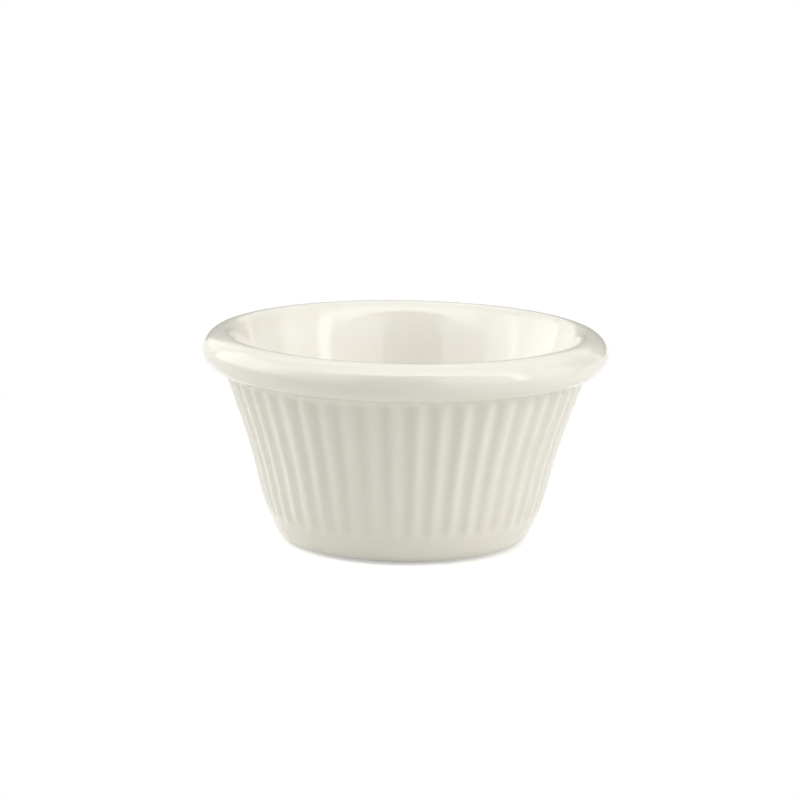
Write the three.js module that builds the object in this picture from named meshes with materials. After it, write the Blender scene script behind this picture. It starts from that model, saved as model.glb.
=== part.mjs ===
// Fluted ramekin: a small round bowl of glazed white ware, with a rolled rim and a fluted wall.
// Millimetres, +Z up. The origin is on the table under the middle of the foot, the front is -Y.
//
// The real thing is one fired piece, made of bodies of material that differ in kind. A moulded clay
// body gives the shape and the strength. A glassy glaze is fused over it in two films, because the
// foot ring is wiped dry so that it won't stick to the kiln shelf: the coat runs from just above the
// foot up the wall, over the rim and down through the bowl, and a second film lines the recess that
// the foot ring goes round.

import * as THREE from 'three';
import { mergeGeometries, mergeVertices } from 'three/addons/utils/BufferGeometryUtils.js';

const { degToRad, lerp, mapLinear, smoothstep } = THREE.MathUtils;

// Overall sizes, over the glaze
const RIM_DIAMETER = 67;
const HEIGHT = 34.8;

// Foot: a flat ring round a shallow recess, with a wide rounded heel outside it
const FOOT_DIAMETER = 35;
const FOOT_RING_WIDTH = 2.6;
const FOOT_RECESS_DEPTH = 1.0;
const FOOT_RECESS_FILLET = 0.5;
const HEEL_RADIUS = 4.4;

// Wall: how far it leans out for each millimetre of height at its two ends, and how long, as a share
// of the wall, it keeps to that lean
const HEEL_LEAN = 0.434;
const HEEL_PULL = 0.392;
const HEAD_LEAN = 0.356;
const HEAD_PULL = 0.752;

// Rim: a rolled bead, joined to the wall by a cove below it and to the bowl by a lip inside it
const RIM_ROLL_WIDTH = 3.4;
const RIM_ROLL_HEIGHT = 6.2;
const RIM_LIP_WIDTH = 2.4;
const RIM_LIP_DEPTH = 5.0;
const COVE_HEIGHT = 3.4;
const COVE_REACH = 1.27;
const COVE_MEETS_ROLL = degToRad(-70);

// Bowl: it flares under the lip, and its wall is thickest at the foot
const LIP_END_LEAN = degToRad(30);
const FLARE_HEIGHT = 5.0;
const WALL_FOOT_THICKNESS = 4.2;
const FLOOR_THICKNESS = 3.2;
const BOWL_CORNER_RADIUS = 7.0;

// Flutes: rounded hollows pressed into the wall, deeper towards the rim. They end above a plain band
// at the foot, and run out in the cove under the rim.
const FLUTE_COUNT = 48;
const FLUTE_FOOT_DEPTH = 0.17;
const FLUTE_HEAD_DEPTH = 0.42;
const FLUTE_FOOT_FADE = 1.6;
const FLUTE_HEAD_FADE = 3.2;
const FOOT_BAND = 4.3;
const NECK_BAND = 0.1;

// Glaze, and how far up round the heel the foot is wiped dry of it
const GLAZE_THICKNESS = 0.3;
const BOND_GAP = 0.02;
const DRY_HEEL = degToRad(36);

// Finishes
const DRY_CLAY = { color: '#e9e2d3', roughness: 0.85, metalness: 0 };
const WARM_WHITE_GLAZE = { color: '#eae7dc', roughness: 0.15, metalness: 0 };

// How finely each surface is divided: steps round a plain ring, steps across one flute, and steps
// along each stretch of the outline. The hidden bond between clay and glaze needs fewer.
const GLAZE_DETAIL = {
  round: 72, flute: 6, heel: 3, band: 1, start: 2, flank: 3, end: 3, neck: 1,
  roll: 4, lip: 4, flare: 3, corner: 4,
};
const CLAY_DETAIL = {
  round: 48, flute: 2, heel: 3, band: 1, start: 1, flank: 2, end: 3, neck: 1,
  roll: 3, lip: 2, flare: 2, corner: 3,
};
const RECESS_STEPS = 48;
const RECESS_FILLET_STEPS = 2;
const CURVE_TOLERANCE = 1e-7;
const WELD_DISTANCE = 1e-5;

// Sizes that follow
const rimRadius = RIM_DIAMETER / 2;
const footRadius = FOOT_DIAMETER / 2;
const clayDepth = GLAZE_THICKNESS + BOND_GAP;
const crestRadius = rimRadius - RIM_ROLL_WIDTH;
const rollBottom = HEIGHT - RIM_ROLL_HEIGHT;
const floorHeight = FOOT_RECESS_DEPTH + FLOOR_THICKNESS;
const fluteFoot = FOOT_BAND;
const fluteHead = rollBottom - NECK_BAND;

// The half outline over the glaze, as curves of radius and height that run on from one another: up
// the outside, over the rim, down the bowl and in to the axis.

/** An arc of an ellipse that stands upright, between two angles from level. */
function arc(centre, width, height, startAngle, endAngle) {
  const clockwise = endAngle < startAngle;
  return new THREE.EllipseCurve(centre.x, centre.y, width, height, startAngle, endAngle, clockwise);
}

/** The point where two straight lines cross, each given by a point and a direction. */
function crossing(pointA, alongA, pointB, alongB) {
  const between = new THREE.Vector2().subVectors(pointB, pointA);
  const distance = between.cross(alongB) / alongA.cross(alongB);
  return new THREE.Vector2().copy(pointA).addScaledVector(alongA, distance);
}

// The clay's own heel touches the table, so the glaze over it would reach one film lower if it went
// all the way round.
const heelCentre = new THREE.Vector2(footRadius, HEEL_RADIUS - clayDepth);
const heelEnd = -Math.atan(HEEL_LEAN);
const clayHeel = arc(heelCentre, HEEL_RADIUS, HEEL_RADIUS, -Math.PI / 2, heelEnd);
const glazedHeel = arc(heelCentre, HEEL_RADIUS, HEEL_RADIUS, DRY_HEEL - Math.PI / 2, heelEnd);

const wallFoot = glazedHeel.getPoint(1);
const wallHead = new THREE.Vector2(crestRadius - COVE_REACH, rollBottom - COVE_HEIGHT);
const wallHeight = wallHead.y - wallFoot.y;
const footAlong = new THREE.Vector2(HEEL_LEAN, 1);
const headAlong = new THREE.Vector2(HEAD_LEAN, 1);
const wall = new THREE.CubicBezierCurve(
  wallFoot,
  wallFoot.clone().addScaledVector(footAlong, HEEL_PULL * wallHeight),
  wallHead.clone().addScaledVector(headAlong, -HEAD_PULL * wallHeight),
  wallHead,
);

const rollCentre = new THREE.Vector2(crestRadius, rollBottom + RIM_ROLL_HEIGHT / 2);
const rollUnder = arc(rollCentre, RIM_ROLL_WIDTH, RIM_ROLL_HEIGHT / 2, COVE_MEETS_ROLL, 0);
const rollOver = arc(rollCentre, RIM_ROLL_WIDTH, RIM_ROLL_HEIGHT / 2, 0, Math.PI / 2);

const coveEnd = rollUnder.getPoint(0);
const coveCorner = crossing(wallHead, headAlong, coveEnd, rollUnder.getTangent(0));
const cove = new THREE.QuadraticBezierCurve(wallHead, coveCorner, coveEnd);

// The lip turns over from the crest until it leans as the flare's head does.
const lipCentre = new THREE.Vector2(crestRadius, HEIGHT - RIM_LIP_DEPTH);
const lipTurn = Math.atan((Math.tan(LIP_END_LEAN) * RIM_LIP_DEPTH) / RIM_LIP_WIDTH);
const lip = arc(lipCentre, RIM_LIP_WIDTH, RIM_LIP_DEPTH, Math.PI / 2, Math.PI - lipTurn);

// Below the flare the bowl's side is straight. It would meet the floor one wall thickness inside the
// outer wall if the corner there weren't rounded.
const sideFoot = outsideAt(floorHeight).point.setY(floorHeight);
sideFoot.x -= WALL_FOOT_THICKNESS;
const lipFoot = lip.getPoint(1);
const lipAlong = new THREE.Vector2(Math.tan(LIP_END_LEAN), 1);
const flareCorner = lipFoot.clone().addScaledVector(lipAlong, -FLARE_HEIGHT / 2);
const flareShare = FLARE_HEIGHT / 2 / (flareCorner.y - sideFoot.y);
const sideHead = flareCorner.clone().lerp(sideFoot, flareShare);
const flare = new THREE.QuadraticBezierCurve(lipFoot, flareCorner, sideHead);

const sideLean = Math.atan2(sideHead.x - sideFoot.x, sideHead.y - sideFoot.y);
const cornerInset = BOWL_CORNER_RADIUS * Math.tan(Math.PI / 4 - sideLean / 2);
const cornerCentre = new THREE.Vector2(sideFoot.x - cornerInset, floorHeight + BOWL_CORNER_RADIUS);
const bowlCorner = arc(cornerCentre, BOWL_CORNER_RADIUS, BOWL_CORNER_RADIUS, -sideLean, -Math.PI / 2);

// The recess under the foot, over its own glaze
const recessRadius = footRadius - FOOT_RING_WIDTH - clayDepth;
const recessFillet = arc(
  new THREE.Vector2(recessRadius - FOOT_RECESS_FILLET, FOOT_RECESS_DEPTH - FOOT_RECESS_FILLET),
  FOOT_RECESS_FILLET, FOOT_RECESS_FILLET, Math.PI / 2, 0,
);

/** A place on the outline: where it is, which way it faces, and how deep flutes are pressed there. */
function station(curve, t, flute = 0) {
  const along = curve.getTangent(t);
  return { point: curve.getPoint(t), facing: new THREE.Vector2(along.y, -along.x), flute };
}

/** A place on a level face, which faces straight up (1) or down (-1). */
function levelStation(radius, height, up) {
  return { point: new THREE.Vector2(radius, height), facing: new THREE.Vector2(0, up), flute: 0 };
}

/** Evenly spaced places along a curve, without its end unless asked. */
function stationsAlong(curve, steps, withEnd = false) {
  const count = withEnd ? steps + 1 : steps;
  return Array.from({ length: count }, (_, i) => station(curve, i / steps));
}

/** How deep the middle of a flute lies at a height. */
function fluteDepth(height) {
  const depth = mapLinear(height, fluteFoot, fluteHead, FLUTE_FOOT_DEPTH, FLUTE_HEAD_DEPTH);
  const begun = smoothstep(height, fluteFoot, fluteFoot + FLUTE_FOOT_FADE);
  const ended = smoothstep(height, fluteHead - FLUTE_HEAD_FADE, fluteHead);
  return depth * begun * (1 - ended);
}

/** The place on the wall, or on the cove above it, at a given height. */
function outsideAt(height) {
  const curve = height <= wallHead.y ? wall : cove;
  let low = 0;
  let high = 1;
  while (high - low > CURVE_TOLERANCE) {
    const middle = (low + high) / 2;
    if (curve.getPoint(middle).y < height) {
      low = middle;
    } else {
      high = middle;
    }
  }
  return station(curve, (low + high) / 2, fluteDepth(height));
}

/** Places evenly spaced in height up the outside, without the top one. */
function outsideStretch(bottom, top, steps) {
  return Array.from({ length: steps }, (_, i) => outsideAt(lerp(bottom, top, i / steps)));
}

/** The outside from the heel to the rim: a plain band, the flutes with their two ends, and the neck. */
function outsideStations(detail) {
  const fullFoot = fluteFoot + FLUTE_FOOT_FADE;
  const fullHead = fluteHead - FLUTE_HEAD_FADE;
  return [
    ...outsideStretch(wallFoot.y, fluteFoot, detail.band),
    ...outsideStretch(fluteFoot, fullFoot, detail.start),
    ...outsideStretch(fullFoot, fullHead, detail.flank),
    ...outsideStretch(fullHead, fluteHead, detail.end),
    ...outsideStretch(fluteHead, coveEnd.y, detail.neck),
  ];
}

/** The glazed outline, from a given heel up the outside, over the rim and down to the bowl's centre. */
function outline(heel, detail) {
  return [
    ...stationsAlong(heel, detail.heel),
    ...outsideStations(detail),
    ...stationsAlong(rollUnder, detail.roll),
    ...stationsAlong(rollOver, detail.roll),
    ...stationsAlong(lip, detail.lip),
    ...stationsAlong(flare, detail.flare, true),
    ...stationsAlong(bowlCorner, detail.corner, true),
    levelStation(0, floorHeight, 1),
  ];
}

/** The recess outline, from the axis out to the foot ring's inner side. */
function recessOutline() {
  const middle = levelStation(0, FOOT_RECESS_DEPTH, -1);
  return [middle, ...stationsAlong(recessFillet, RECESS_FILLET_STEPS, true)];
}

/** A flute's section by the angle from the front: 1 in the middle of a flute, 0 on a crest. */
function fluteShape(angle) {
  return (1 + Math.cos(FLUTE_COUNT * angle)) / 2;
}

/** One ring of points round the axis, at a depth under the outline's surface. */
function ring(place, depth, steps) {
  const onAxis = place.point.x === 0;
  return Array.from({ length: onAxis ? 1 : steps }, (_, i) => {
    const angle = (2 * Math.PI * i) / steps;
    const sunk = place.flute * fluteShape(angle) + depth;
    const radius = place.point.x - place.facing.x * sunk;
    const height = place.point.y - place.facing.y * sunk;
    return new THREE.Vector3(radius * Math.sin(angle), -radius * Math.cos(angle), height);
  });
}

/** Rings for a list of places on the outline, with finer steps where there are flutes. */
function rings(places, depth, detail) {
  return places.map((place) => {
    const steps = place.flute > 0 ? FLUTE_COUNT * detail.flute : detail.round;
    return ring(place, depth, steps);
  });
}

/** Fills between two rings, stepping on round whichever has fallen behind. */
function joinRings(index, below, belowCount, above, aboveCount) {
  const belowSteps = belowCount > 1 ? belowCount : 0;
  const aboveSteps = aboveCount > 1 ? aboveCount : 0;
  let i = 0;
  let j = 0;
  while (i < belowSteps || j < aboveSteps) {
    const lower = below + (i % belowCount);
    const upper = above + (j % aboveCount);
    const belowIsNext = (i + 1) * aboveSteps <= (j + 1) * belowSteps;
    if (i < belowSteps && (j === aboveSteps || belowIsNext)) {
      i += 1;
      index.push(lower, below + (i % belowCount), upper);
    } else {
      j += 1;
      index.push(lower, above + (j % aboveCount), upper);
    }
  }
}

/** A skin over a row of rings, each joined to the next. Turned over, it faces the other way. */
function skin(allRings, turnedOver = false) {
  const geometry = new THREE.BufferGeometry().setFromPoints(allRings.flat());
  const index = [];
  let below = 0;
  for (let k = 0; k + 1 < allRings.length; k += 1) {
    const above = below + allRings[k].length;
    joinRings(index, below, allRings[k].length, above, allRings[k + 1].length);
    below = above;
  }
  geometry.setIndex(turnedOver ? index.reverse() : index);
  return geometry;
}

/** One closed body from skins whose edges meet. */
function weld(...skins) {
  const geometry = mergeVertices(mergeGeometries(skins), WELD_DISTANCE);
  geometry.computeVertexNormals();
  return geometry;
}

/** The clay: recess, dry foot ring, heel, fluted wall, rim and bowl, all under the glaze. */
function clayGeometry() {
  const recess = recessOutline().map((place) => ring(place, clayDepth, RECESS_STEPS));
  const ringInside = ring(levelStation(footRadius - FOOT_RING_WIDTH, 0, -1), 0, RECESS_STEPS);
  const outside = rings(outline(clayHeel, CLAY_DETAIL), clayDepth, CLAY_DETAIL);
  return weld(skin([...recess, ringInside, ...outside]));
}

/** The coat: its open side, the side that is bonded to the clay, and a rounded edge above the foot. */
function coatGeometry() {
  const openSide = rings(outline(glazedHeel, GLAZE_DETAIL), 0, GLAZE_DETAIL);
  const bondSide = rings(outline(glazedHeel, CLAY_DETAIL), GLAZE_THICKNESS, CLAY_DETAIL);
  const edge = station(glazedHeel, 0);
  edge.point.addScaledVector(glazedHeel.getTangent(0), -GLAZE_THICKNESS / 2);
  const edgeBead = ring(edge, GLAZE_THICKNESS / 2, GLAZE_DETAIL.round);
  return weld(skin(openSide), skin(bondSide, true), skin([bondSide[0], edgeBead, openSide[0]]));
}

/** The film in the recess: its open side, the side bonded to the clay, and the edge between them. */
function undersideGeometry() {
  const places = recessOutline();
  const openSide = places.map((place) => ring(place, 0, RECESS_STEPS));
  const bondSide = places.map((place) => ring(place, GLAZE_THICKNESS, RECESS_STEPS));
  return weld(skin(openSide), skin(bondSide, true), skin([openSide.at(-1), bondSide.at(-1)]));
}

/** A named piece in its own finish. */
function piece(name, geometry, finish) {
  const mesh = new THREE.Mesh(geometry, new THREE.MeshStandardMaterial(finish));
  mesh.name = name;
  return mesh;
}

const ramekin = new THREE.Group();
ramekin.name = 'ramekin';
ramekin.add(
  piece('clay_body', clayGeometry(), DRY_CLAY),
  piece('glaze_coat', coatGeometry(), WARM_WHITE_GLAZE),
  piece('underside_glaze', undersideGeometry(), WARM_WHITE_GLAZE),
);

export default ramekin;
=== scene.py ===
"""Dresses the fluted ramekin: its fired clay, its glaze, and the studio that it stands in."""

import logging
import math
import random
from abc import ABC, abstractmethod
from dataclasses import dataclass, field
from enum import Enum
from typing import Any, Sequence

import bmesh
import bpy
from mathutils import Matrix, Vector
from mathutils.geometry import interpolate_bezier


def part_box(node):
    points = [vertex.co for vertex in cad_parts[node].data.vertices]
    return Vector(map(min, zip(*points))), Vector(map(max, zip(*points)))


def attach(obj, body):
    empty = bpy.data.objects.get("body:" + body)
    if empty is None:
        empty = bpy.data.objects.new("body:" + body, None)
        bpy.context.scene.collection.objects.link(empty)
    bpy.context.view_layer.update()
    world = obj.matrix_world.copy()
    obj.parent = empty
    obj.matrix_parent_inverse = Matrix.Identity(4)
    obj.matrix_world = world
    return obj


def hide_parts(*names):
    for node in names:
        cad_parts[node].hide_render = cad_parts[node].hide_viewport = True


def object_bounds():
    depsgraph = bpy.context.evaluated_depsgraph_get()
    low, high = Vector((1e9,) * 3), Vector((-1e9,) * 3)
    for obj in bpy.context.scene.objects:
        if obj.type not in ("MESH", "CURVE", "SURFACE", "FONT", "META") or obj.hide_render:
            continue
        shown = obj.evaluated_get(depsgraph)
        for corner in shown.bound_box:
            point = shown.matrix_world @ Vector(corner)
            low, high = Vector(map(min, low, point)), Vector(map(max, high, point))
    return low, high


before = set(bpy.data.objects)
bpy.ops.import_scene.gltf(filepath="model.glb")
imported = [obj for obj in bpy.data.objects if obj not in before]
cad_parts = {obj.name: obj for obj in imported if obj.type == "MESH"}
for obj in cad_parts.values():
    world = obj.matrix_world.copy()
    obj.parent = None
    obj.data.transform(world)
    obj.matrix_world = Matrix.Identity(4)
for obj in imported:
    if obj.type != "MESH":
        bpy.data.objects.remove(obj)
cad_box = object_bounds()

log = logging.getLogger("ramekin")

MM = 0.001
QUARTER_TURN = math.pi / 2
HALF_TURN = math.pi
FULL_TURN = 2 * math.pi

# What the coat's mesh tells its material: where the glaze pools, and how much painted shade darkens the
# flute hollows
POOL_ATTRIBUTE = "glaze_pool"
HOLLOW_SHADE_ATTRIBUTE = "glaze_hollow_shade"

# The curve between sRGB and linear light
SRGB_KNEE = 0.04045
SRGB_SLOPE = 12.92
SRGB_OFFSET = 0.055
SRGB_POWER = 2.4
WHITE = (1.0, 1.0, 1.0, 1.0)

# The colour sockets of a Mix node, whose names its other kinds share
MIX_FIRST = 6
MIX_SECOND = 7
MIX_RESULT = 2

# The middle of a panel's UV map, which is also half its side
UV_MIDDLE = 0.5

# Handles this far on the way to a corner round it off as a parabola
HANDLE_SHARE = 2 / 3

# Points closer than this are one, in millimetres
MERGE_DISTANCE = 1e-4

# Only the edges of the glaze film turn by more than this
FILM_EDGE_TURN = math.radians(50)

# A bevel with this profile is round
ROUND_PROFILE = 0.5


class Slot(Enum):
    """The record's material slots."""

    CLAY = "clay"
    GLAZE = "glaze"


class CadNode(Enum):
    """The solids that the finely modelled pieces stand for."""

    CLAY_BODY = "clay_body"
    GLAZE_COAT = "glaze_coat"
    UNDERSIDE_GLAZE = "underside_glaze"


class Side(Enum):
    """Which way a place on the ware faces."""

    OUTSIDE = "outside"
    BOWL = "bowl"


def linear(hex_colour: str) -> tuple[float, float, float, float]:
    """Turns an sRGB hex colour into linear light.

    Args:
        hex_colour: Six hex digits after a hash sign.

    Returns:
        Red, green, blue and an alpha of 1.
    """
    channels = []
    for start in (1, 3, 5):
        value = int(hex_colour[start:start + 2], 16) / 255
        low = value / SRGB_SLOPE
        high = ((value + SRGB_OFFSET) / (1 + SRGB_OFFSET)) ** SRGB_POWER
        channels.append(low if value <= SRGB_KNEE else high)
    return (*channels, 1.0)


def smooth_step(value: float, low: float, high: float) -> float:
    """Rises from 0 to 1 with a level start and end.

    Args:
        value: Where on the rise to look.
        low: Where it starts.
        high: Where it ends.

    Returns:
        A share from 0 to 1.
    """
    share = min(max((value - low) / (high - low), 0.0), 1.0)
    return share * share * (3 - 2 * share)


def add_node(
    tree: bpy.types.NodeTree, kind: str, settings: dict[str, Any], inputs: dict[str | int, Any]
) -> bpy.types.Node:
    """Adds one node, sets it up and links it.

    Args:
        tree: The tree that gets the node.
        kind: The node's Blender type.
        settings: Values for the node's own properties.
        inputs: For each input socket, by name or number, an output socket to link or a value to set.

    Returns:
        The new node.
    """
    node = tree.nodes.new(kind)
    for name, value in settings.items():
        setattr(node, name, value)
    for socket, value in inputs.items():
        if isinstance(value, bpy.types.NodeSocket):
            tree.links.new(value, node.inputs[socket])
        else:
            node.inputs[socket].default_value = value
    return node


def noise(
    tree: bpy.types.NodeTree,
    place: bpy.types.NodeSocket,
    size_mm: float,
    detail: float,
    roughness: float = 0.5,
) -> bpy.types.NodeSocket:
    """Adds noise whose features are about one size across.

    Args:
        tree: The tree that gets the noise.
        place: The coordinates that it reads, in metres.
        size_mm: How large its features are, in millimetres.
        detail: How many finer layers it has.
        roughness: How strong each finer layer is beside the one before.

    Returns:
        The socket with the noise, about 0 to 1.
    """
    inputs = {"Vector": place, "Scale": 1 / (size_mm * MM), "Detail": detail, "Roughness": roughness}
    return add_node(tree, "ShaderNodeTexNoise", {}, inputs).outputs["Fac"]


def mixed_colour(
    tree: bpy.types.NodeTree, share: bpy.types.NodeSocket, first: Any, second: Any
) -> bpy.types.NodeSocket:
    """Adds a mix of two colours.

    Args:
        tree: The tree that gets the mix.
        share: The socket with the second colour's share.
        first: A linear colour, or a socket with one.
        second: The same.

    Returns:
        The socket with the mixed colour.
    """
    inputs = {"Factor": share, MIX_FIRST: first, MIX_SECOND: second}
    return add_node(tree, "ShaderNodeMix", {"data_type": "RGBA"}, inputs).outputs[MIX_RESULT]


def shown_share(tree: bpy.types.NodeTree) -> bpy.types.NodeSocket:
    """Tells the rays that show the studio from those that only carry its light.

    Args:
        tree: The tree that gets the nodes.

    Returns:
        A socket that is 1 for camera, glossy and transmission rays, and 0 for the rest.
    """
    path = add_node(tree, "ShaderNodeLightPath", {}, {})
    seen = add_node(
        tree, "ShaderNodeMath", {"operation": "MAXIMUM"},
        {0: path.outputs["Is Camera Ray"], 1: path.outputs["Is Glossy Ray"]},
    )
    shown = add_node(
        tree, "ShaderNodeMath", {"operation": "MAXIMUM"},
        {0: seen.outputs[0], 1: path.outputs["Is Transmission Ray"]},
    )
    return shown.outputs[0]


def blank_material(name: str) -> bpy.types.Material:
    """Makes a material with an empty node tree.

    Args:
        name: The material's name.

    Returns:
        The new material.
    """
    made = bpy.data.materials.new(name)
    made.use_nodes = True
    made.node_tree.nodes.clear()
    return made


def object_from(name: str, shape: bmesh.types.BMesh) -> bpy.types.Object:
    """Makes a scene object at the origin from a shape, and frees the shape.

    Args:
        name: The name of the object and of its mesh.
        shape: The shape, in metres, with its place in it.

    Returns:
        The new object.
    """
    mesh = bpy.data.meshes.new(name)
    shape.to_mesh(mesh)
    shape.free()
    made = bpy.data.objects.new(name, mesh)
    bpy.context.scene.collection.objects.link(made)
    return made


@dataclass(frozen=True)
class GlazeFinish:
    """Opaque white glaze, dipped and fired.

    The eye gets a glassy warm white with painted shade darkening the hollows of the flutes, whiter where
    the glaze pooled in the bowl, with reflections that waver on a faint ripple.
    """

    name: str = "white_glaze_dipped_and_fired"
    thin_colour: str = "#e9e5d9"
    pooled_colour: str = "#ebe8df"
    hollow_shade_colour: str = "#e1ddd0"
    roughness: float = 0.08
    roughness_spread: float = 0.02
    ior: float = 1.6
    cloud_mm: float = 11.0
    cloud_detail: float = 3.0
    cloud_roughness: float = 0.55
    cloud_share: float = 0.5
    ripple_mm: float = 7.0
    ripple_depth_mm: float = 0.020
    peel_mm: float = 1.3
    peel_depth_mm: float = 0.0012
    relief_detail: float = 1.0

    def material(self) -> bpy.types.Material:
        """Makes the glaze's material.

        Returns:
            A material that reads Object coordinates, the coat's own pool attribute and its hollow mark
            for painted shade.
        """
        made = blank_material(self.name)
        tree = made.node_tree
        place = add_node(tree, "ShaderNodeTexCoord", {}, {}).outputs["Object"]
        pool = add_node(tree, "ShaderNodeAttribute", {"attribute_name": POOL_ATTRIBUTE}, {})
        hollow = add_node(tree, "ShaderNodeAttribute", {"attribute_name": HOLLOW_SHADE_ATTRIBUTE}, {})

        # Thick and thin clouds of glaze shift its white and its gloss a little
        cloud = noise(tree, place, self.cloud_mm, self.cloud_detail, self.cloud_roughness)
        cloudy_pool = add_node(
            tree, "ShaderNodeMath", {"operation": "MULTIPLY_ADD", "use_clamp": True},
            {0: cloud, 1: self.cloud_share, 2: pool.outputs["Fac"]},
        )
        tone = mixed_colour(
            tree, cloudy_pool.outputs[0], linear(self.thin_colour), linear(self.pooled_colour)
        )
        # Painted shade: the flute hollows are darkened towards the hollow shade colour
        shaded = mixed_colour(tree, hollow.outputs["Fac"], tone, linear(self.hollow_shade_colour))
        gloss = add_node(
            tree, "ShaderNodeMapRange", {},
            {
                "Value": cloud,
                "To Min": self.roughness - self.roughness_spread,
                "To Max": self.roughness + self.roughness_spread,
            },
        )

        # A slow ripple and a fine peel keep the reflections from being ruled
        rippled = add_node(
            tree, "ShaderNodeBump", {},
            {
                "Height": noise(tree, place, self.ripple_mm, self.relief_detail),
                "Distance": self.ripple_depth_mm * MM,
            },
        )
        peeled = add_node(
            tree, "ShaderNodeBump", {},
            {
                "Height": noise(tree, place, self.peel_mm, self.relief_detail),
                "Distance": self.peel_depth_mm * MM,
                "Normal": rippled.outputs["Normal"],
            },
        )
        surface = add_node(
            tree, "ShaderNodeBsdfPrincipled", {},
            {
                "Base Color": shaded,
                "Roughness": gloss.outputs["Result"],
                "IOR": self.ior,
                "Normal": peeled.outputs["Normal"],
            },
        )
        add_node(tree, "ShaderNodeOutputMaterial", {}, {"Surface": surface.outputs["BSDF"]})
        return made


@dataclass(frozen=True)
class ClayFinish:
    """White clay, fired and wiped.

    The eye gets a dry, matt, fine-grained ring, a little grey where the foot has rubbed.
    """

    name: str = "white_clay_fired_and_wiped"
    colour: str = "#e4dac6"
    grain_colour: str = "#cfc2aa"
    rubbed_colour: str = "#c9c1b3"
    roughness: float = 0.86
    ior: float = 1.5
    grain_mm: float = 0.45
    grain_depth_mm: float = 0.02
    grain_detail: float = 4.0
    grain_roughness: float = 0.65
    fleck_from: float = 0.52
    fleck_full: float = 0.74
    patch_mm: float = 6.0
    patch_detail: float = 2.0
    rubbed_from: float = 0.45
    rubbed_full: float = 0.75
    rubbed_share: float = 0.6

    def material(self) -> bpy.types.Material:
        """Makes the clay's material.

        Returns:
            A material that reads Object coordinates.
        """
        made = blank_material(self.name)
        tree = made.node_tree
        place = add_node(tree, "ShaderNodeTexCoord", {}, {}).outputs["Object"]

        # Darker grains fleck the clay and roughen it
        grain = noise(tree, place, self.grain_mm, self.grain_detail, self.grain_roughness)
        flecks = add_node(
            tree, "ShaderNodeMapRange", {},
            {"Value": grain, "From Min": self.fleck_from, "From Max": self.fleck_full},
        )
        speckled = mixed_colour(
            tree, flecks.outputs["Result"], linear(self.colour), linear(self.grain_colour)
        )
        grained = add_node(
            tree, "ShaderNodeBump", {}, {"Height": grain, "Distance": self.grain_depth_mm * MM}
        )

        # Grey patches show where the foot has rubbed
        rubbed = add_node(
            tree, "ShaderNodeMapRange", {},
            {
                "Value": noise(tree, place, self.patch_mm, self.patch_detail),
                "From Min": self.rubbed_from,
                "From Max": self.rubbed_full,
                "To Max": self.rubbed_share,
            },
        )
        worn = mixed_colour(tree, rubbed.outputs["Result"], speckled, linear(self.rubbed_colour))
        surface = add_node(
            tree, "ShaderNodeBsdfPrincipled", {},
            {
                "Base Color": worn,
                "Roughness": self.roughness,
                "IOR": self.ior,
                "Normal": grained.outputs["Normal"],
            },
        )
        add_node(tree, "ShaderNodeOutputMaterial", {}, {"Surface": surface.outputs["BSDF"]})
        return made


def arc(
    centre: Vector, width: float, height: float, start: float, end: float, steps: int
) -> list[Vector]:
    """Finds points along an arc of an upright ellipse.

    Args:
        centre: The ellipse's centre.
        width: Half its width.
        height: Half its height.
        start: Where the arc starts, in radians from level.
        end: Where it ends.
        steps: How many steps it takes.

    Returns:
        The points, with both ends.
    """
    points = []
    for i in range(steps + 1):
        angle = start + (end - start) * i / steps
        points.append(centre + Vector((width * math.cos(angle), height * math.sin(angle))))
    return points


def straight(start: Vector, end: Vector, steps: int) -> list[Vector]:
    """Finds evenly spaced points along a straight line.

    Args:
        start: Where the line starts.
        end: Where it ends.
        steps: How many steps it takes.

    Returns:
        The points, with both ends.
    """
    return [start.lerp(end, i / steps) for i in range(steps + 1)]


def rounded(start: Vector, corner: Vector, end: Vector, steps: int) -> list[Vector]:
    """Finds points along a curve that rounds a corner off.

    Args:
        start: Where the curve leaves the line into the corner.
        corner: Where the lines would meet.
        end: Where the curve joins the line out of the corner.
        steps: How many steps it takes.

    Returns:
        The points, with both ends.
    """
    start_handle = start.lerp(corner, HANDLE_SHARE)
    end_handle = end.lerp(corner, HANDLE_SHARE)
    return interpolate_bezier(start, start_handle, end_handle, end, steps + 1)


def chain(*stretches: Sequence[Vector]) -> list[Vector]:
    """Joins stretches of an outline.

    Args:
        *stretches: Points, each stretch starting where the last one ends.

    Returns:
        All the points, with those that the stretches share only once.
    """
    points = list(stretches[0])
    for stretch in stretches[1:]:
        points.extend(stretch[1:])
    return points


def inset(points: Sequence[Vector], depth: float) -> list[Vector]:
    """Moves a half outline into the ware, square to itself.

    Args:
        points: The outline, up the outside and down the bowl.
        depth: How far it moves.

    Returns:
        The moved points.
    """
    moved = []
    for i, point in enumerate(points):
        before = points[max(i - 1, 0)]
        after = points[min(i + 1, len(points) - 1)]
        along = (after - before).normalized()
        moved.append(point - depth * Vector((along.y, -along.x)))
    return moved


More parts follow.
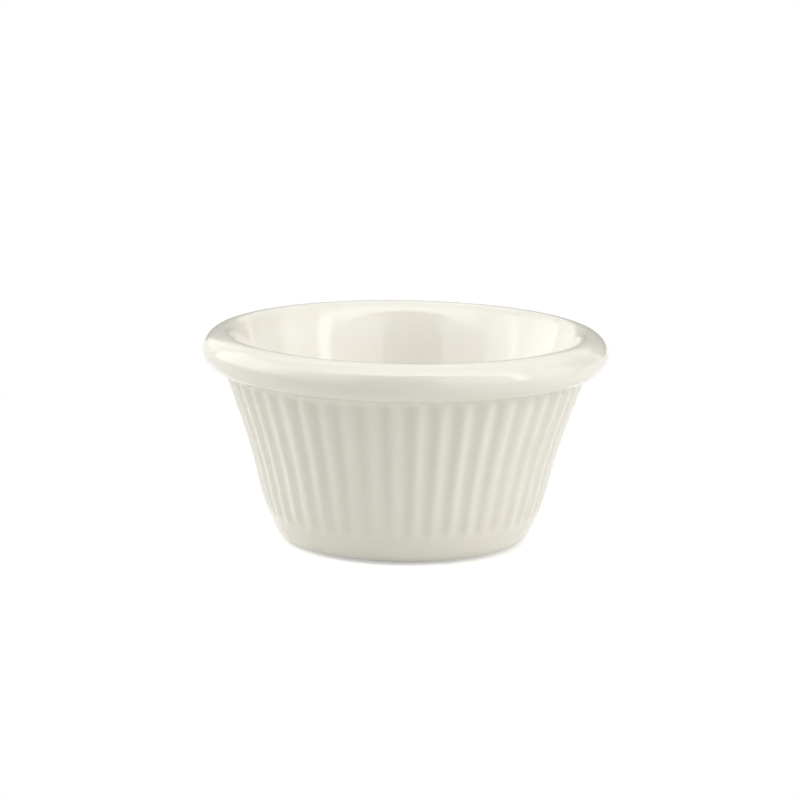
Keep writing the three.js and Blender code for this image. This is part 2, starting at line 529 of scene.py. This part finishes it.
@dataclass(frozen=True)
class Outline:
    """The half outline of the ware over its glaze, in millimetres of radius and height."""

    rim_radius: float
    height: float
    foot_radius: float = 17.5
    foot_ring_width: float = 2.6
    foot_ring_round: float = 0.3
    recess_depth: float = 1.0
    recess_fillet: float = 0.5
    heel_radius: float = 4.4
    heel_lean: float = 0.434
    heel_pull: float = 0.392
    head_lean: float = 0.356
    head_pull: float = 0.752
    roll_width: float = 3.4
    roll_height: float = 6.2
    lip_width: float = 2.4
    lip_depth: float = 5.0
    lip_end_lean: float = math.radians(30)
    flare_height: float = 5.0
    neck_drop: float = 3.4
    neck_reach: float = 1.27
    neck_height: float = 2.6
    cove_meets_roll: float = math.radians(-68)
    wall_foot_thickness: float = 4.2
    floor_thickness: float = 3.2
    bowl_corner_radius: float = 7.0
    glaze_thickness: float = 0.3
    bond_gap: float = 0.02
    dry_heel: float = math.radians(36)
    wall_steps: int = 46
    curve_steps: int = 9
    flat_steps: int = 4

    @property
    def crest_radius(self) -> float:
        """The radius of the rim's highest line."""
        return self.rim_radius - self.roll_width

    @property
    def roll_bottom(self) -> float:
        """The height where the rim's bead would end if it were whole."""
        return self.height - self.roll_height

    @property
    def floor_height(self) -> float:
        """The height of the bowl's floor."""
        return self.recess_depth + self.floor_thickness

    @property
    def clay_depth(self) -> float:
        """How far the clay lies under the glazed surface."""
        return self.glaze_thickness + self.bond_gap

    @property
    def wall_head(self) -> Vector:
        """Where the curved wall ends and the straight neck begins."""
        return Vector((self.crest_radius - self.neck_reach, self.roll_bottom - self.neck_drop))

    @property
    def neck_head(self) -> Vector:
        """Where the neck ends and the cove under the rim begins."""
        return self.wall_head + Vector((self.head_lean, 1)) * self.neck_height

    def heel(self, start: float) -> list[Vector]:
        """Rounds the heel up to the wall's foot.

        Args:
            start: Where it starts, in radians from level.

        Returns:
            The points from there up.
        """
        centre = Vector((self.foot_radius, self.heel_radius - self.clay_depth))
        end = -math.atan(self.heel_lean)
        return arc(centre, self.heel_radius, self.heel_radius, start, end, self.curve_steps)

    def wall(self) -> list[Vector]:
        """Draws the flared wall.

        Returns:
            The points from the heel to the neck.
        """
        foot = self.heel(-QUARTER_TURN)[-1]
        head = self.wall_head
        rise = head.y - foot.y
        foot_handle = foot + Vector((self.heel_lean, 1)) * self.heel_pull * rise
        head_handle = head - Vector((self.head_lean, 1)) * self.head_pull * rise
        return interpolate_bezier(foot, foot_handle, head_handle, head, self.wall_steps + 1)

    def wall_radius(self, height: float) -> float:
        """Finds the wall's radius.

        Args:
            height: A height on the wall.

        Returns:
            The radius there.
        """
        wall = self.wall()
        above = next(i for i, point in enumerate(wall) if point.y >= height)
        low, high = wall[above - 1], wall[above]
        return low.x + (high.x - low.x) * (height - low.y) / (high.y - low.y)

    def neck(self) -> list[Vector]:
        """The straight stretch in which the flutes run out, up to the cove."""
        return straight(self.wall_head, self.neck_head, self.curve_steps)

    def roll(self, start: float, end: float) -> list[Vector]:
        """The rim's rolled bead, between two angles."""
        centre = Vector((self.crest_radius, self.roll_bottom + self.roll_height / 2))
        return arc(centre, self.roll_width, self.roll_height / 2, start, end, self.curve_steps)

    def cove(self) -> list[Vector]:
        """Draws the tight hollow curve under the rim.

        Returns:
            The points from the neck into the rim's bead.
        """
        head = self.neck_head
        end = self.roll(self.cove_meets_roll, 0)[0]
        tilt = Vector((
            -self.roll_width * math.sin(self.cove_meets_roll),
            self.roll_height / 2 * math.cos(self.cove_meets_roll),
        ))
        lean = Vector((self.head_lean, 1))
        between = end - head
        reach = (between.x * tilt.y - between.y * tilt.x) / (lean.x * tilt.y - lean.y * tilt.x)
        return rounded(head, head + lean * reach, end, self.curve_steps)

    def lip(self) -> list[Vector]:
        """Draws the round of the lip inside the rim.

        Returns:
            The points from the rim's highest line down to where the lip leans over the bowl.
        """
        centre = Vector((self.crest_radius, self.height - self.lip_depth))
        turn = math.atan(math.tan(self.lip_end_lean) * self.lip_depth / self.lip_width)
        end = HALF_TURN - turn
        return arc(centre, self.lip_width, self.lip_depth, QUARTER_TURN, end, self.curve_steps)

    def bowl(self) -> list[Vector]:
        """Draws the lip, the flare under it, the straight side, the rounded corner and the floor.

        Returns:
            The points from the rim's highest line to the middle of the bowl.
        """
        floor = self.floor_height
        lip = self.lip()
        side_foot = Vector((self.wall_radius(floor) - self.wall_foot_thickness, floor))
        half_flare = self.flare_height / 2
        flare_corner = lip[-1] - Vector((math.tan(self.lip_end_lean), 1)) * half_flare
        side_head = flare_corner.lerp(side_foot, half_flare / (flare_corner.y - floor))
        flare = rounded(lip[-1], flare_corner, side_head, self.curve_steps)
        side = side_head - side_foot
        lean = math.atan2(side.x, side.y)
        radius = self.bowl_corner_radius
        corner_inset = radius * math.tan((QUARTER_TURN - lean) / 2)
        corner_centre = Vector((side_foot.x - corner_inset, floor + radius))
        corner = arc(corner_centre, radius, radius, -lean, -QUARTER_TURN, self.curve_steps)
        down = straight(side_head, corner[0], self.flat_steps)
        level = straight(corner[-1], Vector((0, floor)), self.flat_steps)
        return chain(lip, flare, down, corner, level)

    def above_heel(self) -> list[Vector]:
        """Draws everything above the heel.

        Returns:
            The points from the wall's foot, over the rim and down to the middle of the bowl.
        """
        under = self.roll(self.cove_meets_roll, 0)
        over = self.roll(0, QUARTER_TURN)
        return chain(self.wall(), self.neck(), self.cove(), under, over, self.bowl())

    def glazed(self) -> list[Vector]:
        """The open side of the glaze coat, from its edge above the foot."""
        return chain(self.heel(self.dry_heel - QUARTER_TURN), self.above_heel())

    def recess(self) -> list[Vector]:
        """Draws the open side of the glaze in the recess.

        Returns:
            The points from the middle to the foot ring.
        """
        radius = self.foot_radius - self.foot_ring_width - self.clay_depth
        fillet = self.recess_fillet
        centre = Vector((radius - fillet, self.recess_depth - fillet))
        corner = arc(centre, fillet, fillet, QUARTER_TURN, 0, self.curve_steps)
        level = straight(Vector((0, self.recess_depth)), corner[0], self.flat_steps)
        return chain(level, corner)

    def fired(self) -> list[Vector]:
        """Draws the whole outline of the clay.

        Returns:
            The points from the middle of the recess, round the foot ring, to the middle of the bowl.
        """
        recess = inset(self.recess(), self.clay_depth)
        edge = self.foot_ring_round
        edge_centre = Vector((self.foot_radius - self.foot_ring_width + edge, edge))
        ring_edge = arc(edge_centre, edge, edge, -HALF_TURN, -QUARTER_TURN, self.curve_steps)
        outside = inset(chain(self.heel(-QUARTER_TURN), self.above_heel()), self.clay_depth)
        ring_middle = (ring_edge[-1] + outside[0]) / 2
        return [*recess, *ring_edge, ring_middle, *outside]


def side_of(vert: bmesh.types.BMVert) -> Side:
    """Tells which way a place on the ware faces.

    Args:
        vert: The place, with its normal up to date.

    Returns:
        Whether it faces out from the axis or into the bowl.
    """
    outward = vert.normal.x * vert.co.x + vert.normal.y * vert.co.y
    return Side.OUTSIDE if outward > 0 else Side.BOWL


@dataclass(frozen=True)
class Flutes:
    """Round hollows pressed into the outer wall, in millimetres and pitches, no two quite alike."""

    count: int = 48
    turned: float = 0.10
    foot_depth: float = 0.24
    head_depth: float = 0.55
    foot: float = 4.3
    foot_fade: float = 1.6
    head: float = 28.5
    head_fade: float = 1.5
    strength_spread: float = 0.10
    shift_spread: float = 0.05
    seed: int = 48
    steps: int = 8

    @property
    def steps_round(self) -> int:
        """Steps round the whole ware."""
        return self.count * self.steps

    def depth_at(self, height: float) -> float:
        """Finds how deep a flute's middle lies.

        Args:
            height: A height on the wall.

        Returns:
            The depth there, which fades out at both ends of the flute.
        """
        share = (height - self.foot) / (self.head - self.foot)
        depth = self.foot_depth + (self.head_depth - self.foot_depth) * share
        grown = smooth_step(height, self.foot, self.foot + self.foot_fade)
        left = 1 - smooth_step(height, self.head - self.head_fade, self.head)
        return depth * grown * left

    def own_shapes(self) -> list[tuple[float, float]]:
        """Draws how each flute differs from the next.

        Returns:
            Each flute's strength, about 1, and its sideways shift, about 0.
        """
        draw = random.Random(self.seed)
        shapes = []
        for _ in range(self.count):
            strength = 1 + draw.uniform(-self.strength_spread, self.strength_spread)
            shift = draw.uniform(-self.shift_spread, self.shift_spread)
            shapes.append((strength, shift))
        return shapes

    def press(self, ware: bmesh.types.BMesh) -> None:
        """Presses the flutes into a spun ware's outside, and marks their hollows for painted shade.

        Args:
            ware: The spun mesh, in millimetres, with normals that point out.
        """
        hollow = ware.verts.layers.float.new(HOLLOW_SHADE_ATTRIBUTE)
        shapes = self.own_shapes()
        ware.normal_update()
        for vert in ware.verts:
            if side_of(vert) is Side.BOWL:
                continue
            turn = math.atan2(vert.co.x, -vert.co.y) / FULL_TURN
            pitches = (turn - self.turned / self.count) % 1.0 * self.count
            flute = int(pitches) % self.count
            share = pitches - int(pitches)
            strength, shift = shapes[flute]
            bent = share + shift * math.sin(FULL_TURN * share)
            pressed = (1 + math.cos(FULL_TURN * bent)) / 2
            depth = self.depth_at(vert.co.z) * strength * pressed
            # The mark sets how much painted shade darkens this place in the hollow
            vert[hollow] = depth / self.head_depth
            vert.co -= vert.normal * depth


def spun(points: Sequence[Vector], steps: int) -> bmesh.types.BMesh:
    """Turns a half outline round the axis, as on a wheel.

    Args:
        points: Radius and height of each point, in millimetres.
        steps: Steps round the axis.

    Returns:
        The mesh, in millimetres, with merged seams and poles.
    """
    ware = bmesh.new()
    last = ware.verts.new((points[0].x, 0, points[0].y))
    for point in points[1:]:
        last = bmesh.ops.extrude_vert_indiv(ware, verts=[last])["verts"][0]
        last.co = (point.x, 0, point.y)
    bmesh.ops.spin(
        ware, geom=[*ware.verts, *ware.edges], cent=(0, 0, 0), axis=(0, 0, 1),
        angle=FULL_TURN, steps=steps, use_merge=True,
    )
    bmesh.ops.remove_doubles(ware, verts=ware.verts, dist=MERGE_DISTANCE)
    bmesh.ops.recalc_face_normals(ware, faces=ware.faces)
    return ware


def give_thickness(
    surface: bmesh.types.BMesh, thickness: float, edge_round: float, edge_steps: int
) -> None:
    """Gives an open glazed surface its thickness, inwards, and rounds the edge of the film.

    Args:
        surface: The open side of the glaze, in millimetres, which becomes a closed film.
        thickness: The film's thickness.
        edge_round: How far the rounding of its edge reaches.
        edge_steps: Steps across the rounding.
    """
    bmesh.ops.solidify(surface, geom=surface.faces[:], thickness=thickness)
    film_edges = [edge for edge in surface.edges if edge.calc_face_angle(0.0) > FILM_EDGE_TURN]
    bmesh.ops.bevel(
        surface, geom=film_edges, offset=edge_round, offset_type="OFFSET", affect="EDGES",
        segments=edge_steps, profile=ROUND_PROFILE, material=-1,
    )


@dataclass
class Piece(ABC):
    """One modelled piece of the ware, which stands for a solid of the frame."""

    name: str
    node: CadNode
    slot: Slot
    finish: GlazeFinish | ClayFinish
    outline: Outline
    flutes: Flutes
    made: bpy.types.Object | None = field(default=None, init=False)

    @abstractmethod
    def model(self) -> bmesh.types.BMesh:
        """Models the piece in millimetres."""

    def build(self) -> None:
        """Makes the piece's object at the origin, in metres, and ties it to the frame."""
        ware = self.model()
        bmesh.ops.scale(ware, vec=(MM, MM, MM), verts=ware.verts)
        for face in ware.faces:
            face.smooth = True
        self.made = object_from(self.name, ware)
        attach(self.made, "root")
        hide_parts(self.node.value)

    def dress(self) -> None:
        """Gives the piece its finish and reports it."""
        self.made.data.materials.append(self.finish.material())
        log.info("%s: %d faces, %s", self.name, len(self.made.data.polygons), self.finish.name)


@dataclass
class ClayWare(Piece):
    """The fired clay, which shows on the dry foot ring and heel."""

    def model(self) -> bmesh.types.BMesh:
        """Spins the clay's outline and presses the flutes.

        Returns:
            The clay, in millimetres.
        """
        ware = spun(self.outline.fired(), self.flutes.steps_round)
        self.flutes.press(ware)
        return ware


@dataclass
class GlazeCoat(Piece):
    """The glaze over the outside, the rim and the bowl, in which it pools."""

    edge_round: float = 0.12
    edge_steps: int = 3
    pool_fade: float = 6.0

    def pool(self, coat: bmesh.types.BMesh) -> None:
        """Marks where the glaze pools: all of the bowl, up to a fade under the rim.

        Args:
            coat: The spun mesh, in millimetres, with normals that point out.
        """
        pool = coat.verts.layers.float.new(POOL_ATTRIBUTE)
        rim = self.outline.height
        coat.normal_update()
        for vert in coat.verts:
            if side_of(vert) is Side.BOWL:
                vert[pool] = 1 - smooth_step(vert.co.z, rim - self.pool_fade, rim)

    def model(self) -> bmesh.types.BMesh:
        """Spins the glazed outline, marks the pool, presses the flutes and gives the film its body.

        Returns:
            The coat, in millimetres.
        """
        coat = spun(self.outline.glazed(), self.flutes.steps_round)
        self.pool(coat)
        self.flutes.press(coat)
        give_thickness(coat, self.outline.glaze_thickness, self.edge_round, self.edge_steps)
        return coat


@dataclass
class RecessGlaze(Piece):
    """The glaze film in the recess under the foot."""

    edge_round: float = 0.1
    edge_steps: int = 2

    def model(self) -> bmesh.types.BMesh:
        """Spins the recess outline, turns it to face down and gives the film its body.

        Returns:
            The film, in millimetres.
        """
        film = spun(self.outline.recess(), self.flutes.steps_round // 2)
        film.normal_update()
        if sum(face.normal.z for face in film.faces) > 0:
            bmesh.ops.reverse_faces(film, faces=film.faces)
        give_thickness(film, self.outline.glaze_thickness, self.edge_round, self.edge_steps)
        return film


def facing(azimuth: float, elevation: float, distance: float) -> Matrix:
    """Places something round the ware so that its -Z looks at the ware's middle.

    Args:
        azimuth: Degrees round from the front, towards +X.
        elevation: Degrees above the table.
        distance: Metres from the ware's middle.

    Returns:
        The matrix that puts it there.
    """
    turn = math.radians(azimuth)
    lift = math.radians(elevation)
    out = Vector((
        math.sin(turn) * math.cos(lift), -math.cos(turn) * math.cos(lift), math.sin(lift)
    ))
    middle = Vector((0, 0, (cad_box[0].z + cad_box[1].z) / 2))
    aim = out.to_track_quat("Z", "Y").to_matrix().to_4x4()
    return Matrix.Translation(middle + out * distance) @ aim


@dataclass(frozen=True)
class Softbox:
    """A lamp behind a diffusing cloth, placed round the ware: degrees, and metres."""

    name: str
    azimuth: float
    elevation: float
    distance: float
    width: float
    height: float
    radiance: float

    def hang(self) -> None:
        """Hangs the lamp so that it faces the ware and doesn't show in the gloss."""
        lamp = bpy.data.lights.new(self.name, "AREA")
        lamp.shape = "RECTANGLE"
        lamp.size = self.width
        lamp.size_y = self.height
        lamp.energy = self.radiance * math.pi * self.width * self.height
        made = bpy.data.objects.new(self.name, lamp)
        made.matrix_world = facing(self.azimuth, self.elevation, self.distance)
        made.visible_camera = False
        made.visible_glossy = False
        bpy.context.scene.collection.objects.link(made)


@dataclass(frozen=True)
class Card:
    """A panel that only shows in the ware's gloss: degrees, metres, and shares of its sides."""

    name: str
    azimuth: float
    elevation: float
    half_width: float
    half_height: float
    radiance: float
    soft_width: float
    soft_height: float
    distance: float = 0.8

    def paint(self) -> bpy.types.Material:
        """Makes a plain glow that fades into the surround towards the panel's edges.

        Returns:
            A material that reads the panel's UV map.
        """
        made = blank_material(self.name)
        tree = made.node_tree
        place = add_node(tree, "ShaderNodeTexCoord", {}, {}).outputs["UV"]
        offset = add_node(
            tree, "ShaderNodeVectorMath", {"operation": "SUBTRACT"},
            {0: place, 1: (UV_MIDDLE, UV_MIDDLE, 0.0)},
        )
        away = add_node(tree, "ShaderNodeVectorMath", {"operation": "ABSOLUTE"}, {0: offset.outputs[0]})
        split = add_node(tree, "ShaderNodeSeparateXYZ", {}, {0: away.outputs[0]})
        shares = []
        for axis, soft in (("X", self.soft_width), ("Y", self.soft_height)):
            fade = add_node(
                tree, "ShaderNodeMapRange", {"interpolation_type": "SMOOTHSTEP"},
                {
                    "Value": split.outputs[axis],
                    "From Min": UV_MIDDLE - soft,
                    "From Max": UV_MIDDLE,
                    "To Min": 1.0,
                    "To Max": 0.0,
                },
            )
            shares.append(fade.outputs[0])
        share = add_node(
            tree, "ShaderNodeMath", {"operation": "MULTIPLY"}, {0: shares[0], 1: shares[1]}
        )
        clear = add_node(tree, "ShaderNodeBsdfTransparent", {}, {})
        glow = add_node(tree, "ShaderNodeEmission", {}, {"Strength": self.radiance})
        mixed = add_node(
            tree, "ShaderNodeMixShader", {},
            {0: share.outputs[0], 1: clear.outputs[0], 2: glow.outputs[0]},
        )
        add_node(tree, "ShaderNodeOutputMaterial", {}, {"Surface": mixed.outputs[0]})
        return made

    def stand(self) -> None:
        """Stands the panel so that it faces the ware."""
        card = bmesh.new()
        card.loops.layers.uv.new()
        bmesh.ops.create_grid(card, x_segments=1, y_segments=1, size=1.0, calc_uvs=True)
        width = self.distance * math.tan(math.radians(self.half_width))
        height = self.distance * math.tan(math.radians(self.half_height))
        bmesh.ops.scale(card, vec=(width, height, 1), verts=card.verts)
        bmesh.ops.transform(
            card, matrix=facing(self.azimuth, self.elevation, self.distance), verts=card.verts
        )
        made = object_from(self.name, card)
        made.data.materials.append(self.paint())
        made.visible_camera = False
        made.visible_diffuse = False
        made.visible_shadow = False
        made.visible_transmission = False


@dataclass(frozen=True)
class PhotoCamera:
    """The camera, fitted to the outline in the photograph: millimetres, degrees and pixels."""

    target_height: float = 17.0
    distance: float = 500.0
    elevation: float = 11.93
    roll: float = 0.971
    pixels_per_mm: float = 6.017
    target_pixel_x: float = 404.175
    target_pixel_y: float = 435.839
    picture_side: int = 800
    sensor_mm: float = 36.0

    def place(self) -> None:
        """Sets up the scene's camera."""
        lens = bpy.data.cameras.new("photo_camera")
        lens.sensor_width = self.sensor_mm
        lens.lens = self.sensor_mm * self.pixels_per_mm * self.distance / self.picture_side
        lens.shift_x = (self.picture_side / 2 - self.target_pixel_x) / self.picture_side
        lens.shift_y = (self.target_pixel_y - self.picture_side / 2) / self.picture_side
        lift = math.radians(self.elevation)
        back = Vector((0, -math.cos(lift), math.sin(lift)))
        target = Vector((0, 0, self.target_height * MM))
        made = bpy.data.objects.new("photo_camera", lens)
        level = back.to_track_quat("Z", "Y").to_matrix().to_4x4()
        tilt = Matrix.Rotation(math.radians(self.roll), 4, "Z")
        made.matrix_world = Matrix.Translation(target + back * self.distance * MM) @ level @ tilt
        bpy.context.scene.collection.objects.link(made)
        bpy.context.scene.camera = made


@dataclass(frozen=True)
class Studio:
    """A pale floor, soft lamps to the left, right and above, and the cards that the gloss shows."""

    ambient: float = 0.28
    floor_colour: str = "#e8e8e6"
    floor_lift: float = 0.45
    floor_side: float = 8.0
    shadow_reach: float = 0.075
    white_from: float = 0.14
    lamps: tuple[Softbox, ...] = (
        Softbox(
            "left_softbox", azimuth=-96, elevation=30, distance=0.75,
            width=0.76, height=0.55, radiance=2.6,
        ),
        Softbox(
            "right_softbox", azimuth=67, elevation=26, distance=0.75,
            width=0.66, height=0.57, radiance=2.75,
        ),
        Softbox(
            "overhead_softbox", azimuth=0, elevation=86, distance=0.235,
            width=0.50, height=0.36, radiance=0.62,
        ),
    )
    cards: tuple[Card, ...] = (
        Card(
            "camera_side", azimuth=-6, elevation=20, half_width=26.5, half_height=33,
            radiance=0.6, soft_width=0.04, soft_height=0.05,
        ),
        Card(
            "front_right", azimuth=40, elevation=22, half_width=21, half_height=28,
            radiance=1.7, soft_width=0.1, soft_height=0.1,
        ),
        Card(
            "right_strip", azimuth=67, elevation=24, half_width=6.5, half_height=26,
            radiance=4.0, soft_width=0.3, soft_height=0.2,
        ),
        Card(
            "right_glow", azimuth=88, elevation=24, half_width=17, half_height=25,
            radiance=1.6, soft_width=0.1, soft_height=0.15,
        ),
        Card(
            "front_left", azimuth=-48, elevation=22, half_width=18, half_height=28,
            radiance=1.8, soft_width=0.1, soft_height=0.1,
        ),
        Card(
            "left_glow", azimuth=-100, elevation=24, half_width=35, half_height=25,
            radiance=2.6, soft_width=0.1, soft_height=0.15,
        ),
        Card(
            "left_strip", azimuth=-90, elevation=24, half_width=5.0, half_height=26,
            radiance=3.5, soft_width=0.3, soft_height=0.2, distance=0.76,
        ),
        Card(
            "left_glow_far", azimuth=-146, elevation=20, half_width=13, half_height=16,
            radiance=1.4, soft_width=0.2, soft_height=0.2,
        ),
        Card(
            "back_right", azimuth=122, elevation=16, half_width=17, half_height=20,
            radiance=0.4, soft_width=0.15, soft_height=0.2,
        ),
        Card(
            "far_side", azimuth=172, elevation=10, half_width=32, half_height=16,
            radiance=0.25, soft_width=0.1, soft_height=0.2,
        ),
        Card(
            "overhead_front", azimuth=0, elevation=63, half_width=45, half_height=7.0,
            radiance=3.6, soft_width=0.2, soft_height=0.1, distance=0.25,
        ),
        Card(
            "overhead_glow", azimuth=0, elevation=80, half_width=47, half_height=12,
            radiance=2.5, soft_width=0.1, soft_height=0.1, distance=0.25,
        ),
        Card(
            "overhead_back", azimuth=180, elevation=70, half_width=47, half_height=19,
            radiance=1.5, soft_width=0.1, soft_height=0.1, distance=0.25,
        ),
    )

    def world(self) -> None:
        """Sets a white surround where it shows, and a plain soft light for the rest."""
        surround = bpy.data.worlds.new("studio_surround")
        surround.use_nodes = True
        tree = surround.node_tree
        tree.nodes.clear()
        soft = add_node(tree, "ShaderNodeBackground", {}, {"Color": WHITE, "Strength": self.ambient})
        white = add_node(tree, "ShaderNodeBackground", {}, {"Color": WHITE, "Strength": 1.0})
        mixed = add_node(
            tree, "ShaderNodeMixShader", {},
            {0: shown_share(tree), 1: soft.outputs[0], 2: white.outputs[0]},
        )
        add_node(tree, "ShaderNodeOutputWorld", {}, {"Surface": mixed.outputs[0]})
        bpy.context.scene.world = surround

    def floor_paint(self) -> bpy.types.Material:
        """Makes the floor's material, which keeps the shadow near the ware and runs out into white.

        Returns:
            A material that reads Object coordinates.
        """
        made = blank_material("pale_studio_floor")
        tree = made.node_tree
        place = add_node(tree, "ShaderNodeTexCoord", {}, {}).outputs["Object"]
        away = add_node(tree, "ShaderNodeVectorMath", {"operation": "LENGTH"}, {0: place})
        far = add_node(
            tree, "ShaderNodeMapRange", {"interpolation_type": "SMOOTHSTEP"},
            {
                "Value": away.outputs["Value"],
                "From Min": self.shadow_reach,
                "From Max": self.white_from,
            },
        )
        shown = shown_share(tree)
        share = add_node(tree, "ShaderNodeMath", {"operation": "MULTIPLY"}, {0: far.outputs[0], 1: shown})
        lift = add_node(tree, "ShaderNodeMath", {"operation": "MULTIPLY"}, {0: shown, 1: self.floor_lift})
        matt = add_node(tree, "ShaderNodeBsdfDiffuse", {}, {"Color": linear(self.floor_colour)})
        pale = add_node(tree, "ShaderNodeEmission", {}, {"Strength": lift.outputs[0]})
        lifted = add_node(tree, "ShaderNodeAddShader", {}, {0: matt.outputs[0], 1: pale.outputs[0]})
        white = add_node(tree, "ShaderNodeEmission", {}, {"Strength": 1.0})
        mixed = add_node(
            tree, "ShaderNodeMixShader", {},
            {0: share.outputs[0], 1: lifted.outputs[0], 2: white.outputs[0]},
        )
        add_node(tree, "ShaderNodeOutputMaterial", {}, {"Surface": mixed.outputs[0]})
        return made

    def floor(self) -> None:
        """Lays the floor that the ware stands on."""
        slab = bmesh.new()
        bmesh.ops.create_grid(slab, x_segments=1, y_segments=1, size=self.floor_side / 2)
        made = object_from("studio_floor", slab)
        made.data.materials.append(self.floor_paint())

    def build(self) -> None:
        """Sets up the surround, floor, lamps and cards."""
        bpy.context.scene.view_settings.view_transform = "Standard"
        self.world()
        self.floor()
        for lamp in self.lamps:
            lamp.hang()
        for card in self.cards:
            card.stand()


def main() -> None:
    """Builds the studio and the ware."""
    logging.basicConfig(level=logging.INFO, format="%(name)s: %(message)s")
    PhotoCamera().place()
    Studio().build()
    low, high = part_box(CadNode.GLAZE_COAT.value)
    outline = Outline(rim_radius=(high.x - low.x) / 2 / MM, height=high.z / MM)
    flutes = Flutes()
    glaze = GlazeFinish()
    pieces = (
        ClayWare("fired_clay", CadNode.CLAY_BODY, Slot.CLAY, ClayFinish(), outline, flutes),
        GlazeCoat("glaze_over_ware", CadNode.GLAZE_COAT, Slot.GLAZE, glaze, outline, flutes),
        RecessGlaze("glaze_in_recess", CadNode.UNDERSIDE_GLAZE, Slot.GLAZE, glaze, outline, flutes),
    )
    for piece in pieces:
        piece.build()
        piece.dress()


if __name__ == "__main__":
    main()
